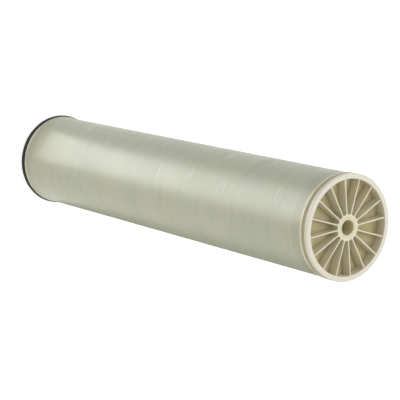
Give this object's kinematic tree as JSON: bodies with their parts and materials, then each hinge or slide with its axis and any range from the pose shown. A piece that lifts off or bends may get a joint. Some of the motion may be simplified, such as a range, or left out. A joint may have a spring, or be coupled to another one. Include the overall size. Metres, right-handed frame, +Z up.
{
  "type": "reverse osmosis membrane element",
  "caption": "Spiral-wound reverse osmosis element: a long fibreglass-shelled roll on a central permeate tube, with a spoked end cap at each end and a cup seal round one of them.",
  "frame": {"origin": "on the permeate tube's axis, in the plane of the feed end cap's rim face, which the element stands on", "axes": "+Z runs up the permeate tube from the feed end, which carries the brine seal, to the outlet end; +X points at the middle of a flow passage between two vanes"},
  "size_m": [0.206, 0.206, 1.016],
  "materials": {
    "tube_plastic": "extruded, satin",
    "carrier_fabric": "knitted",
    "membrane": "cut edges of wound sheet",
    "tape": "adhesive tape",
    "cap_plastic": "moulded, satin",
    "fibreglass": "wound glass in clear resin, satin",
    "seal_rubber": "moulded, matte"
  },
  "bodies": {
    "root": {"permeate_tube": "tube_plastic", "carrier_leader": "carrier_fabric", "membrane_roll": "membrane", "tape_wrap": "tape", "feed_end_cap": "cap_plastic", "outlet_end_cap": "cap_plastic", "fibreglass_shell": "fibreglass", "brine_seal": "seal_rubber"}
  },
  "joints": []
}
